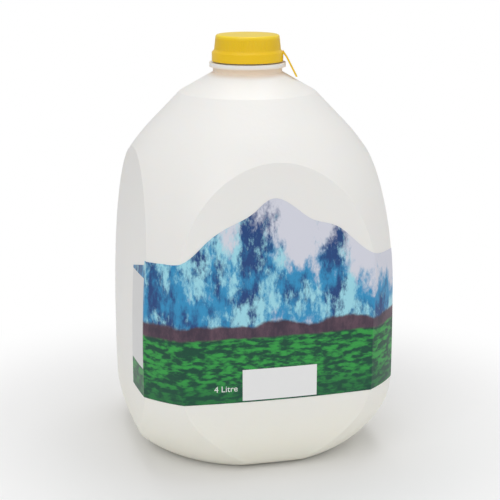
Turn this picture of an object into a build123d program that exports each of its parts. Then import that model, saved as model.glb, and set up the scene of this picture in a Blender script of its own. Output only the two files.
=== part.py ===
from build123d import *
import math
import os

# A four litre plastic milk jug: a blow-moulded body with a moulded-in handle,
# the milk inside, a snap cap with its tear band, and a wrapped label.
# Millimetres, +Z up, origin on the floor under the neck axis, front towards -Y.

# body, measured on its outer skin
corner_radius = 96.35       # neck axis to the rounded corners
panel_half = 80.0           # neck axis to the middle of a side panel
panel_bow = 2.5             # how far the middle of a panel stands out from its edges
panel_chord = 108.0         # width over which that bow is measured
panel_lean_start = 70.0     # height where the panels begin to lean in
panel_lean_radius = 850.0   # radius of that lean

wall = 1.0                  # thickness of the moulded skin

# base
base_radius = 62.6          # round part of the footprint
base_rise = 55.0            # height where the corners become upright
heel_width = 28.0           # sideways reach of the rounding under a panel
heel_height = 31.0          # upward reach of that rounding
heel_centre = 30.0          # height of the rounding's centre
pushup_radius = 42.0        # hollow in the middle of the base
pushup_depth = 4.0
pushup_slope = 6.0          # how much narrower the hollow is at its top

# shoulder
ring_radius = 42.2          # crease between the steep and the shallow shoulder
ring_height = 221.4
shoulder_angle = 44.0       # of the steep cone, in degrees from upright
shoulder_radius = 130.0     # rounding from the corners into the steep cone

# neck
neck_foot_radius = 21.3
neck_foot_height = 233.4
neck_radius = 18.4
neck_wall = 1.6
flange_radius = 23.5
flange_height = 236.6       # underside of the flange
flange_thickness = 2.6
bead_radius = 19.3
bead_height = 243.0         # underside of the snap bead
bead_thickness = 2.0

# handle, in the upright plane through the back right corner
handle_turn = 45.0          # direction of that plane, in degrees from +X
handle_width = 26.0
handle_depth = 21.0
handle_top_radius = 38.0    # the grip's centre line starts here, under the ring
handle_top_height = 211.0
handle_knee_radius = 77.0   # where it turns down
handle_knee_height = 170.0
handle_grip_radius = 85.0   # its upright stretch
handle_grip_top = 130.0
handle_grip_bottom = 104.0
handle_root_radius = 62.0   # where it ends inside the ledge
handle_root_height = 84.0
handle_bends = (24.0, 40.0, 18.0)

# bay behind the grip, where the fingers go
bay_half_angle = 36.0
bay_wall_radius = 44.0
bay_wall_bottom = 128.0
bay_wall_top = 168.0
bay_floor_slope = 0.5       # fall of the ledge for each millimetre outwards
bay_roof_slope = 1.73       # rise of the roof for each millimetre outwards
bay_corner = 8.0
bay_ceiling = 206.0


# milk
milk_level = 222.0

# cap and tear band
cap_top = 256.0
cap_plate = 1.5             # thickness of the cap's top
cap_wall = 1.0
cap_top_radius = 19.5
cap_foot_radius = 20.5
cap_edge = 1.5              # rounding of the top edge
band_top = 246.9
band_bottom = 240.0
band_radius = 21.95
band_wall = 1.5
band_shoulder = 1.6         # sloped top of the band
tab_turn = -13.9            # where the pull tab leaves the band, in degrees from +X
tab_width = 8.0
tab_thickness = 1.1
tab_knee_radius = 24.5
tab_knee_height = 242.5
tab_tip_radius = 30.7
tab_tip_height = 230.4

# label
label_thickness = 0.25
label_bottom = 48.8
label_end = -30.0           # Y of both ends, on the left and right panels
label_split = -56.0         # Y where the side stretches take over from the front
label_end_top = 123.0
label_corner_top = 129.5
# height of the upper edge over X, across the front
label_ridge = ((-66.0, 132.5), (-53.0, 136.0), (-43.0, 145.0), (-30.0, 153.5), (-15.0, 161.0),
               (-3.0, 169.0), (9.0, 164.0), (21.0, 155.5), (34.0, 151.5), (43.0, 145.0),
               (52.0, 137.0), (66.0, 131.5))

far = 120.0                 # beyond every side of the body

# worked out from the sizes above
panel_arc = (panel_chord ** 2 / 4 + panel_bow ** 2) / (2 * panel_bow)
tan_shoulder = math.tan(math.radians(shoulder_angle))
shoulder_meets = ring_height - (corner_radius - ring_radius) / tan_shoulder
shoulder_tangent = shoulder_radius * math.tan(math.radians(shoulder_angle / 2))
shoulder_start = shoulder_meets - shoulder_tangent
shoulder_end = (
    corner_radius - shoulder_tangent * math.sin(math.radians(shoulder_angle)),
    shoulder_meets + shoulder_tangent * math.cos(math.radians(shoulder_angle)),
)
neck_top = cap_top - cap_plate
bay_start = bay_wall_radius - bay_corner
bay_floor_reach = bay_wall_bottom - bay_floor_slope * (far - bay_wall_radius) - far / 2
bay_roof_reach = bay_wall_radius + (bay_ceiling - bay_wall_top) / bay_roof_slope


def bay_floor(out):
    # height of the ledge at a distance from the neck axis
    return bay_wall_bottom - bay_floor_slope * (out - bay_wall_radius)


def bay_roof(out):
    return bay_wall_top + bay_roof_slope * (out - bay_wall_radius)


def bay_edge(turn):
    # a point far out along one side of the bay, seen from above
    angle = math.radians(handle_turn + turn)
    return (2 * far * math.cos(angle), 2 * far * math.sin(angle))


def round_body(inset):
    # everything that is round about the neck axis, moved inwards by inset
    slope = math.radians(shoulder_angle)
    upright = corner_radius - inset
    bend_end = (shoulder_end[0] - inset * math.cos(slope), shoulder_end[1] - inset * math.sin(slope))
    ring = (ring_radius - inset * math.cos(slope), ring_height - inset)
    foot = (neck_foot_radius - inset, neck_foot_height - inset)
    with BuildPart() as turned:
        with BuildSketch(Plane.XZ):
            with BuildLine():
                Line((0, inset), (base_radius - inset, inset))
                TangentArc((upright, base_rise), (base_radius - inset, inset), tangent=(0, -1))
                Line((upright, base_rise), (upright, shoulder_start))
                TangentArc((upright, shoulder_start), bend_end, tangent=(0, 1))
                Polyline(bend_end, ring, foot, (0, foot[1]), (0, inset))
            make_face()
        revolve(axis=Axis.Z)
    return turned.part


def panel_barrel(turn, inset):
    # a wide barrel whose skin is one side panel, facing the direction turn
    facing = Plane((0, 0, 0), x_dir=Vector(1, 0, 0).rotate(Axis.Z, turn),
                   z_dir=Vector(0, -1, 0).rotate(Axis.Z, turn))
    axis_out = panel_half - panel_arc
    axis_at = Vector(axis_out, 0, 0).rotate(Axis.Z, turn)
    skin = panel_half - inset
    heel_low = heel_centre - heel_height + inset
    lean = far
    lean_in = panel_lean_radius - math.sqrt(panel_lean_radius ** 2 - lean ** 2)
    lean_top = panel_lean_start + lean * 1.5
    with BuildPart() as barrel:
        with BuildSketch(facing):
            with BuildLine():
                Line((axis_out, heel_low), (panel_half - heel_width, heel_low))
                EllipticalCenterArc((panel_half - heel_width, heel_centre), heel_width - inset,
                                    heel_height - inset, start_angle=-90, arc_size=90)
                Line((skin, heel_centre), (skin, panel_lean_start))
                TangentArc((skin, panel_lean_start), (skin - lean_in, lean + panel_lean_start),
                           tangent=(0, 1))
                Polyline((skin - lean_in, lean + panel_lean_start), (skin - lean_in, lean_top),
                         (axis_out, lean_top), (axis_out, heel_low))
            make_face()
        revolve(axis=Axis(axis_at, (0, 0, 1)))
    return barrel.part


def plain_body(inset):
    # the round body trimmed by its four panels, with soft creases between them
    with BuildPart() as trimmed:
        add(round_body(inset))
        for turn in (0, 90, 180, 270):
            add(panel_barrel(turn, inset), mode=Mode.INTERSECT)
    return trimmed.part


def bay(inset):
    # the space behind the grip, open to the two back panels
    with BuildPart() as space:
        with BuildSketch(Plane.XY.offset(bay_floor_reach)):
            with BuildLine():
                Polyline((0, 0), bay_edge(-bay_half_angle), bay_edge(bay_half_angle), (0, 0))
            make_face()
            Circle(bay_wall_radius, mode=Mode.SUBTRACT)
            inner = vertices().sort_by(SortBy.DISTANCE)[:2]
            fillet(inner, radius=bay_corner)
            if inset:
                offset(amount=inset, kind=Kind.INTERSECTION)
        extrude(amount=2 * far)
        with BuildSketch(Plane.XZ):
            with BuildLine():
                Polyline(
                    (bay_start, bay_floor(bay_start)),
                    (bay_start, bay_roof(bay_start)),
                    (bay_roof_reach, bay_ceiling),
                    (far, bay_ceiling),
                    (far, bay_floor(far)),
                    (bay_start, bay_floor(bay_start)),
                )
            make_face()
            if inset:
                offset(amount=inset, kind=Kind.INTERSECTION)
        revolve(axis=Axis.Z, mode=Mode.INTERSECT)
    return space.part


def grip(inset):
    # the handle's bar, its centre line in the upright plane of the back right corner
    outward = Vector(1, 0, 0).rotate(Axis.Z, handle_turn)
    route = Plane((0, 0, 0), x_dir=outward, z_dir=outward.cross(Vector(0, 0, 1)))
    start = outward * handle_top_radius + Vector(0, 0, handle_top_height)
    knee = outward * handle_knee_radius + Vector(0, 0, handle_knee_height)
    with BuildPart() as bar:
        with BuildLine(route):
            FilletPolyline(
                (handle_top_radius, handle_top_height),
                (handle_knee_radius, handle_knee_height),
                (handle_grip_radius, handle_grip_top),
                (handle_grip_radius, handle_grip_bottom),
                (handle_root_radius, handle_root_height),
                radius=list(handle_bends),
            )
        with BuildSketch(Plane(start, x_dir=Vector(0, 0, 1).cross(outward), z_dir=knee - start)):
            Ellipse(handle_width / 2 - inset, handle_depth / 2 - inset)
        sweep()
    return bar.part


def neck_stem(radius, bottom, top):
    with BuildPart() as stem:
        with BuildSketch(Plane.XY.offset(bottom)):
            Circle(radius)
        extrude(amount=top - bottom)
    return stem.part


def pushup(inset):
    # the hollow in the middle of the base
    with BuildPart() as hollow:
        with BuildSketch(Plane.XY):
            Circle(pushup_radius + inset)
        with BuildSketch(Plane.XY.offset(pushup_depth + inset)):
            Circle(pushup_radius - pushup_slope + inset)
        loft()
    return hollow.part


def inside():
    # the space that the skin encloses, up to the mouth
    with BuildPart() as room:
        add(plain_body(wall))
        add(bay(wall), mode=Mode.SUBTRACT)
        add(pushup(wall), mode=Mode.SUBTRACT)
        add(grip(wall))
        add(neck_stem(neck_radius - neck_wall, ring_height, neck_top))
    return room.part


def label_outline():
    # the label's outline, cut upright through the front and through each side
    with BuildPart() as cutter:
        with BuildSketch(Plane.XZ.offset(-label_split)):
            with BuildLine():
                Spline(*label_ridge)
                Polyline(label_ridge[-1], (far, label_corner_top), (far, label_bottom),
                         (-far, label_bottom), (-far, label_corner_top), label_ridge[0])
            make_face()
        extrude(amount=far)
        with BuildSketch(Plane.YZ.offset(-far)):
            with BuildLine():
                Polyline((label_split, label_corner_top), (label_end, label_end_top),
                         (label_end, label_bottom), (label_split, label_bottom),
                         (label_split, label_corner_top))
            make_face()
        extrude(amount=2 * far)
    return cutter.part


os.makedirs("parts", exist_ok=True)

solid_body = plain_body(0)
cavity = inside()

with BuildPart() as jug:
    add(solid_body)
    add(bay(0), mode=Mode.SUBTRACT)
    add(pushup(0), mode=Mode.SUBTRACT)
    add(grip(0))
    add(neck_stem(neck_foot_radius, neck_foot_height, flange_height))
    add(neck_stem(flange_radius, flange_height, flange_height + flange_thickness))
    add(neck_stem(neck_radius, flange_height, neck_top))
    add(neck_stem(bead_radius, bead_height, bead_height + bead_thickness))
    add(cavity, mode=Mode.SUBTRACT)
jug.part.label = "jug"
export_step(jug.part, "parts/jug.step")

with BuildPart() as milk:
    add(cavity)
    split(bisect_by=Plane.XY.offset(milk_level), keep=Keep.BOTTOM)
milk.part.label = "milk"
export_step(milk.part, "parts/milk.step")

with BuildPart() as cap:
    with BuildSketch(Plane.XZ):
        with BuildLine():
            Polyline(
                (0, cap_top),
                (cap_top_radius, cap_top),
                (cap_foot_radius, band_top),
                (cap_foot_radius - cap_wall, band_top),
                (cap_top_radius - cap_wall, neck_top),
                (0, neck_top),
                (0, cap_top),
            )
        make_face()
    revolve(axis=Axis.Z)
    fillet(cap.edges().filter_by(GeomType.CIRCLE).group_by(Axis.Z)[-1], radius=cap_edge)
cap.part.label = "cap"
export_step(cap.part, "parts/cap.step")

tab_out = Vector(1, 0, 0).rotate(Axis.Z, tab_turn)
with BuildPart() as tear_band:
    with BuildSketch(Plane.XZ):
        with BuildLine():
            Polyline(
                (band_radius - band_wall, band_bottom),
                (band_radius, band_bottom),
                (band_radius, band_top - band_shoulder),
                (cap_foot_radius, band_top),
                (cap_foot_radius - cap_wall, band_top),
                (band_radius - band_wall, band_bottom),
            )
        make_face()
    revolve(axis=Axis.Z)
    with BuildSketch(Plane((0, 0, 0), x_dir=tab_out, z_dir=tab_out.cross(Vector(0, 0, 1)))):
        with BuildLine():
            Polyline(
                (band_radius - band_wall / 2, band_top - band_shoulder),
                (tab_knee_radius - tab_thickness, tab_knee_height),
                (tab_tip_radius - tab_thickness, tab_tip_height),
                (tab_tip_radius, tab_tip_height),
                (tab_knee_radius, tab_knee_height),
                (band_radius, band_top - band_shoulder / 2),
                (band_radius - band_wall / 2, band_top - band_shoulder),
            )
        make_face()
    extrude(amount=tab_width / 2, both=True)
tear_band.part.label = "tear_band"
export_step(tear_band.part, "parts/tear_band.step")

with BuildPart() as label:
    add(plain_body(-label_thickness))
    add(label_outline(), mode=Mode.INTERSECT)
    add(solid_body, mode=Mode.SUBTRACT)
label.part.label = "label"
export_step(label.part, "parts/label.step")
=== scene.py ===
import math
import bpy
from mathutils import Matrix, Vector


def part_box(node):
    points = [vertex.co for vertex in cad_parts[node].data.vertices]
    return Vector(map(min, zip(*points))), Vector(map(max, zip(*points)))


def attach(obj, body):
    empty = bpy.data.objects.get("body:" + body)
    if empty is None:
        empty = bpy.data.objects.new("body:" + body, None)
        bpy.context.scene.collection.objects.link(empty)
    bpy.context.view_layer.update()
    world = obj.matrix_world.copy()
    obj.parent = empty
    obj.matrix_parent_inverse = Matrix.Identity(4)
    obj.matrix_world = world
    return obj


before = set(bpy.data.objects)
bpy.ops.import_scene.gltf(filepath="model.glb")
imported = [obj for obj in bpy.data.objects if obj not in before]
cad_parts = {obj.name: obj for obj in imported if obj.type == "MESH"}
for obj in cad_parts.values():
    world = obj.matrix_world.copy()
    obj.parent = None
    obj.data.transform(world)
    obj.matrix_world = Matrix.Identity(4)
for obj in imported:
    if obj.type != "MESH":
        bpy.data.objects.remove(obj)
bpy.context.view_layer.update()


class Sock:  # wraps a socket, so that shader maths reads as expressions
    def __init__(self, tree, out):
        self.tree = tree
        self.out = out

    def maths(self, operation, a, b):
        node = self.tree.nodes.new("ShaderNodeMath")
        node.operation = operation
        for place, value in zip(node.inputs, (a, b)):
            if isinstance(value, Sock):
                self.tree.links.new(value.out, place)
            else:
                place.default_value = value
        return Sock(self.tree, node.outputs[0])

    def __add__(self, other):
        return self.maths("ADD", self, other)

    def __radd__(self, other):
        return self.maths("ADD", other, self)

    def __sub__(self, other):
        return self.maths("SUBTRACT", self, other)

    def __rsub__(self, other):
        return self.maths("SUBTRACT", other, self)

    def __mul__(self, other):
        return self.maths("MULTIPLY", self, other)

    def __rmul__(self, other):
        return self.maths("MULTIPLY", other, self)

    def __gt__(self, other):
        return self.maths("GREATER_THAN", self, other)

    def __lt__(self, other):
        return self.maths("LESS_THAN", self, other)


class Finish:  # a material under construction
    def __init__(self, name):
        self.material = bpy.data.materials.new(name)
        self.material.use_nodes = True
        self.tree = self.material.node_tree
        self.shader = self.tree.nodes["Principled BSDF"]
        self.place = self.node("ShaderNodeNewGeometry").out.node.outputs["Position"]
        split = self.node("ShaderNodeSeparateXYZ", {}, {"Vector": self.place}).out.node
        self.x, self.y, self.z = (Sock(self.tree, split.outputs[i]) for i in range(3))

    def node(self, kind, settings={}, sockets={}):
        node = self.tree.nodes.new(kind)
        for key, value in settings.items():
            setattr(node, key, value)
        for key, value in sockets.items():
            value = value.out if isinstance(value, Sock) else value
            if isinstance(value, bpy.types.NodeSocket):
                self.tree.links.new(value, node.inputs[key])
            else:
                node.inputs[key].default_value = value
        return Sock(self.tree, node.outputs[0])

    def noise(self, scale, detail=4.0, stretch=(1, 1, 1), rough=0.55):
        where = self.node("ShaderNodeVectorMath", {"operation": "MULTIPLY"},
                          {0: self.place, 1: stretch})
        return self.node("ShaderNodeTexNoise", {},
                         {"Vector": where, "Scale": scale, "Detail": detail, "Roughness": rough})

    def mix(self, mask, a, b):  # a where the mask is 0, b where it is 1
        node = self.node("ShaderNodeMix", {"data_type": "RGBA"}, {0: mask}).out.node
        for index, value in ((6, a), (7, b)):  # the colour sockets A and B
            if isinstance(value, Sock):
                self.tree.links.new(value.out, node.inputs[index])
            else:
                node.inputs[index].default_value = (*value, 1)
        return Sock(self.tree, node.outputs[2])

    def ramp(self, value, low, high):  # 0 at low, 1 at high
        return self.node("ShaderNodeMapRange", {"interpolation_type": "SMOOTHSTEP"},
                         {0: value, 1: low, 2: high})

    def set(self, **values):  # plain numbers on the shader's own sockets
        for name, value in values.items():
            self.shader.inputs[name.replace("_", " ")].default_value = value

    def wear(self, colour, rough, height, depth, strength=0.3):
        self.tree.links.new(colour.out, self.shader.inputs["Base Color"])
        self.tree.links.new(rough.out, self.shader.inputs["Roughness"])
        bump = self.node("ShaderNodeBump", {},
                         {"Height": height, "Distance": depth, "Strength": strength})
        self.tree.links.new(bump.out, self.shader.inputs["Normal"])
        return self.material


# heights and widths are in metres, in the frame of the jug
jugLook = {
    "pale": (0.93, 0.915, 0.885),
    "cream": (0.95, 0.92, 0.79),  # towards the base
    "creamBand": (0.075, 0.005),
    "creamShare": 0.8,
    "paintedCapLight": (0.96, 0.74, 0.52),  # painted light: orange from the yellow cap, cast round the neck, under the flange
    "paintedCapLightFoot": (0.2305, 0.2345),
    "paintedCapLightHead": (0.2355, 0.2385),
    "paintedCapLightShare": 0.75,
    "cloud": (0.86, 0.85, 0.84),
    "cloudScale": 14,
    "cloudShare": 0.12,
    "rough": 0.3,
    "roughSpread": 0.16,
    "roughScale": 60,
    "grainScale": 420,
    "grainDetail": 3,
    "grainDepth": 0.0004,
    "grainStrength": 0.18,
    "subsurface": 0.25,
    "scatter": (0.006, 0.005, 0.004),
    "ior": 1.5,
}


def jugMaterial():
    look = jugLook
    m = Finish("jugPlastic")
    low = m.ramp(m.z, *look["creamBand"])
    # painted light: the neck is tinted orange as though lit through the yellow cap
    paintedCapLightMask = m.ramp(m.z, *look["paintedCapLightFoot"]) * (1 - m.ramp(m.z, *look["paintedCapLightHead"]))
    colour = m.mix(low * look["creamShare"], look["pale"], look["cream"])
    colour = m.mix(paintedCapLightMask * look["paintedCapLightShare"], colour, look["paintedCapLight"])
    colour = m.mix(m.noise(look["cloudScale"]) * look["cloudShare"], colour, look["cloud"])
    m.set(Subsurface_Weight=look["subsurface"], Subsurface_Radius=look["scatter"], IOR=look["ior"])
    return m.wear(colour, look["rough"] + look["roughSpread"] * m.noise(look["roughScale"]),
                  m.noise(look["grainScale"], look["grainDetail"]),
                  look["grainDepth"], look["grainStrength"])


milkLook = {
    "white": (0.93, 0.91, 0.86),
    "cream": (0.95, 0.90, 0.76),  # risen to the top
    "creamBand": (0.19, 0.222),
    "rough": 0.2,
    "roughSpread": 0.1,
    "roughScale": 40,
    "rippleScale": 90,
    "rippleDepth": 0.0003,
}


def milkMaterial():
    look = milkLook
    m = Finish("milk")
    colour = m.mix(m.ramp(m.z, *look["creamBand"]), look["white"], look["cream"])
    return m.wear(colour, look["rough"] + look["roughSpread"] * m.noise(look["roughScale"]),
                  m.noise(look["rippleScale"]), look["rippleDepth"])


capLook = {
    "yellow": (0.96, 0.62, 0.0),
    "light": (0.99, 0.73, 0.02),  # painted highlight: the top painted lighter, where it faces up to the lamps
    "paintedTopLightBand": (0.2535, 0.2558),
    "dark": (0.86, 0.46, 0.0),
    "darkScale": 90,
    "darkShare": 0.14,
    "ribs": 120,
    "ribFoot": (0.2465, 0.248),
    "ribTop": 0.2535,
    "rough": 0.26,
    "roughSpread": 0.14,
    "roughScale": 130,
    "grainScale": 500,
    "grainShare": 0.3,
    "reliefDepth": 0.0003,
    "reliefStrength": 0.45,
    "subsurface": 0.08,
    "scatter": (0.003, 0.002, 0.0005),
}


def capMaterial(name):
    look = capLook
    m = Finish(name)
    turn = m.node("ShaderNodeMath", {"operation": "ARCTAN2"}, {0: m.y, 1: m.x})
    wave = m.node("ShaderNodeMath", {"operation": "SINE"}, {0: turn * look["ribs"]})
    ribs = wave * m.ramp(m.z, *look["ribFoot"]) * (m.z < look["ribTop"])
    # painted highlight: the cap's top is lighter where it catches light from above
    colour = m.mix(m.ramp(m.z, *look["paintedTopLightBand"]), look["yellow"], look["light"])
    colour = m.mix(m.noise(look["darkScale"]) * look["darkShare"], colour, look["dark"])
    m.set(Subsurface_Weight=look["subsurface"], Subsurface_Radius=look["scatter"])
    return m.wear(colour, look["rough"] + look["roughSpread"] * m.noise(look["roughScale"]),
                  ribs + m.noise(look["grainScale"]) * look["grainShare"],
                  look["reliefDepth"], look["reliefStrength"])


printLook = {
    "navy": (0.012, 0.06, 0.22),
    "blue": (0.03, 0.30, 0.58),
    "ice": (0.36, 0.74, 0.86),
    "snow": (0.72, 0.73, 0.82),
    "wood": (0.05, 0.03, 0.055),
    "woodLight": (0.13, 0.07, 0.10),
    "grass": (0.03, 0.36, 0.06),
    "shade": (0.0, 0.07, 0.035),
    "folds": (26, 7, (1.5, 1.5, 0.75), 0.68),  # scale, detail, stretch, roughness
    "streaks": (75, 6, (1.0, 1.0, 0.45), 0.7),
    "tufts": (150, 6, (1, 1, 2.6)),
    "wander": (48, 5),
    "wanderReach": 0.012,  # how far the treeline's top rises and falls
    "wanderShare": 0.3,  # of that, at the meadow's top
    "blueBand": (0.42, 0.54),
    "iceBand": (0.47, 0.60),
    "snowLine": (0.118, 0.165),
    "snowLean": 0.25,
    "snowPull": 0.22,
    "snowBand": (0.56, 0.68),
    "woodBand": (0.4, 0.65),
    "treeTop": (0.1005, 0.103),
    "tuftBand": (0.42, 0.62),
    "meadowFoot": (0.068, 0.05),
    "meadowShade": 0.62,
    "meadowTop": (0.0885, 0.0905),
    "rough": 0.36,
    "roughSpread": 0.12,
    "roughScale": 110,
    "grain": (700, 2),
    "grainDepth": 0.0002,
    "grainStrength": 0.15,
    "ior": 1.45,
}
sideField = {"colour": (0.74, 0.74, 0.74), "left": -0.07, "front": -0.0565, "foot": 0.066, "top": 0.1215}
frontField = {"colour": (0.88, 0.88, 0.88), "half": 0.0226, "foot": 0.0497, "top": 0.0688}


def printMaterial():
    look = printLook
    m = Finish("labelPrint")
    folds = m.noise(*look["folds"])
    streaks = m.noise(*look["streaks"])
    rock = m.mix(m.ramp(folds, *look["blueBand"]), look["navy"], look["blue"])
    rock = m.mix(m.ramp(streaks, *look["iceBand"]), rock, look["ice"])
    high = m.ramp(m.z + m.x * look["snowLean"], *look["snowLine"])
    rock = m.mix(m.ramp(folds + high * look["snowPull"], *look["snowBand"]), rock, look["snow"])
    edge = m.noise(*look["wander"]) * look["wanderReach"]
    wood = m.mix(m.ramp(streaks, *look["woodBand"]), look["wood"], look["woodLight"])
    land = m.mix(m.ramp(m.z + edge, *look["treeTop"]), wood, rock)
    grass = m.mix(m.ramp(m.noise(*look["tufts"]), *look["tuftBand"]), look["shade"], look["grass"])
    grass = m.mix(m.ramp(m.z, *look["meadowFoot"]) * look["meadowShade"], grass, look["shade"])
    colour = m.mix(m.ramp(m.z + edge * look["wanderShare"], *look["meadowTop"]), grass, land)
    side = ((m.x < sideField["left"]) * (m.y > sideField["front"])
            * (m.z > sideField["foot"]) * (m.z < sideField["top"]))
    front = ((m.x > -frontField["half"]) * (m.x < frontField["half"])
             * (m.z > frontField["foot"]) * (m.z < frontField["top"]))
    colour = m.mix(side, colour, sideField["colour"])
    colour = m.mix(front, colour, frontField["colour"])
    m.set(IOR=look["ior"])
    return m.wear(colour, look["rough"] + look["roughSpread"] * m.noise(look["roughScale"]),
                  m.noise(*look["grain"]), look["grainDepth"], look["grainStrength"])


print("finishes")
finishes = {
    "jug": jugMaterial(),
    "milk": milkMaterial(),
    "cap": capMaterial("capPlastic"),
    "tear_band": capMaterial("bandPlastic"),
    "label": printMaterial(),
}
for name, material in finishes.items():
    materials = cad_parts[name].data.materials
    materials.clear()
    materials.append(material)

textLook = {
    "words": "4 Litre",
    "size": 0.0052,
    "middle": (-0.0325, 0.0560),  # X and Z on the front panel
    "thickness": 0.00005,
    "lift": 0.00008,  # off the label
    "halfPanel": 0.054,  # half the width over which the front panel's bow is measured
    "panelBow": 0.0025,
}
inkLook = {
    "pale": (0.9, 0.92, 0.9),
    "worn": (0.75, 0.8, 0.78),
    "wornScale": 300,
    "wornShare": 0.2,
    "rough": 0.4,
    "roughSpread": 0.1,
    "roughScale": 200,
    "grainScale": 600,
    "grainDepth": 0.0001,
}


def inkMaterial():
    look = inkLook
    m = Finish("volumeInk")
    colour = m.mix(m.noise(look["wornScale"]) * look["wornShare"], look["pale"], look["worn"])
    return m.wear(colour, look["rough"] + look["roughSpread"] * m.noise(look["roughScale"]),
                  m.noise(look["grainScale"]), look["grainDepth"])


def volumeText():
    look = textLook
    curve = bpy.data.curves.new("volumeText", "FONT")
    curve.body = look["words"]
    curve.size = look["size"]
    curve.align_x = "CENTER"
    curve.extrude = look["thickness"]
    words = bpy.data.objects.new("volumeText", curve)
    bpy.context.scene.collection.objects.link(words)
    across, up = look["middle"]
    bow = look["panelBow"]
    panelArc = (look["halfPanel"] ** 2 + bow ** 2) / (2 * bow)  # radius of the bowed panel
    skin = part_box("label")[0][1]  # the label's foremost point
    sink = panelArc - math.sqrt(panelArc ** 2 - across ** 2)
    words.location = (across, skin + sink - look["lift"], up)
    words.rotation_euler = (math.pi / 2, 0, -math.asin(-across / panelArc))
    curve.materials.append(inkMaterial())
    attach(words, "root")


print("volume text")
volumeText()

floorLook = {"colour": (0.9, 0.9, 0.9, 1), "rough": 0.9, "half": 4, "whiteBand": (0.1, 0.28)}


def stagePlane():
    look = floorLook
    half = look["half"]
    corners = [(-half, -half, 0), (half, -half, 0), (half, half, 0), (-half, half, 0)]
    mesh = bpy.data.meshes.new("floor")
    mesh.from_pydata(corners, [], [(0, 1, 2, 3)])
    floor = bpy.data.objects.new("floor", mesh)
    bpy.context.scene.collection.objects.link(floor)
    m = Finish("floorPale")
    m.set(Base_Color=look["colour"], Roughness=look["rough"])
    glow = m.node("ShaderNodeEmission", {}, {"Color": (1, 1, 1, 1), "Strength": 1.0})
    rays = m.node("ShaderNodeLightPath").out.node
    far = m.node("ShaderNodeVectorMath", {"operation": "LENGTH"}, {0: m.place}).out.node.outputs[1]
    # plain white to the camera away from the jug, so that the shadow near it stays
    seen = Sock(m.tree, rays.outputs["Is Camera Ray"]) * m.ramp(far, *look["whiteBand"])
    both = m.node("ShaderNodeMixShader", {}, {0: seen, 1: m.shader.outputs[0], 2: glow})
    m.tree.links.new(both.out, m.tree.nodes["Material Output"].inputs[0])
    floor.data.materials.append(m.material)


target = Vector((0, 0, 0.13))  # what the lamps and the camera point at
lampLook = {
    "keyLight": {"place": (-0.9, -1.2, 1.3), "size": 1.2, "power": 8.5},
    "fillLight": {"place": (1.2, -0.9, 0.9), "size": 1.2, "power": 3.2},
    "topLight": {"place": (0.1, 0.3, 1.6), "size": 1.0, "power": 7.5},
}
worldLook = {"onObject": 0.5, "toCamera": 1.0}


def lamp(name, place, size, power):
    light = bpy.data.lights.new(name, "AREA")
    light.size = size
    light.energy = power
    holder = bpy.data.objects.new(name, light)
    holder.location = place
    holder.rotation_euler = (target - Vector(place)).to_track_quat("-Z", "Y").to_euler()
    bpy.context.scene.collection.objects.link(holder)


def paleWorld(scene):
    world = scene.world or bpy.data.worlds.new("world")
    scene.world = world
    world.use_nodes = True
    tree = world.node_tree
    back = tree.nodes["Background"]
    back.inputs["Color"].default_value = (1, 1, 1, 1)
    ray = tree.nodes.new("ShaderNodeLightPath")
    level = tree.nodes.new("ShaderNodeMapRange")
    level.inputs["To Min"].default_value = worldLook["onObject"]
    level.inputs["To Max"].default_value = worldLook["toCamera"]
    tree.links.new(ray.outputs["Is Camera Ray"], level.inputs["Value"])
    tree.links.new(level.outputs[0], back.inputs["Strength"])


cameraLook = {"distance": 0.825, "rise": 13.73, "turn": 13.87, "lens": 93.7, "sensor": 36,
              "shift": (0.005, -0.031)}


def frontCamera(scene):
    look = cameraLook
    rise = math.radians(look["rise"])
    turn = math.radians(look["turn"])
    reach = look["distance"]
    data = bpy.data.cameras.new("camera")
    data.lens = look["lens"]
    data.sensor_width = look["sensor"]
    data.shift_x, data.shift_y = look["shift"]
    camera = bpy.data.objects.new("camera", data)
    camera.location = (-reach * math.sin(turn) * math.cos(rise),
                       -reach * math.cos(turn) * math.cos(rise),
                       target.z + reach * math.sin(rise))
    camera.rotation_euler = (target - camera.location).to_track_quat("-Z", "Y").to_euler()
    scene.collection.objects.link(camera)
    scene.camera = camera


print("floor, light and camera")
scene = bpy.context.scene
stagePlane()
for name, settings in lampLook.items():
    lamp(name, **settings)
paleWorld(scene)
scene.view_settings.view_transform = "Standard"
frontCamera(scene)
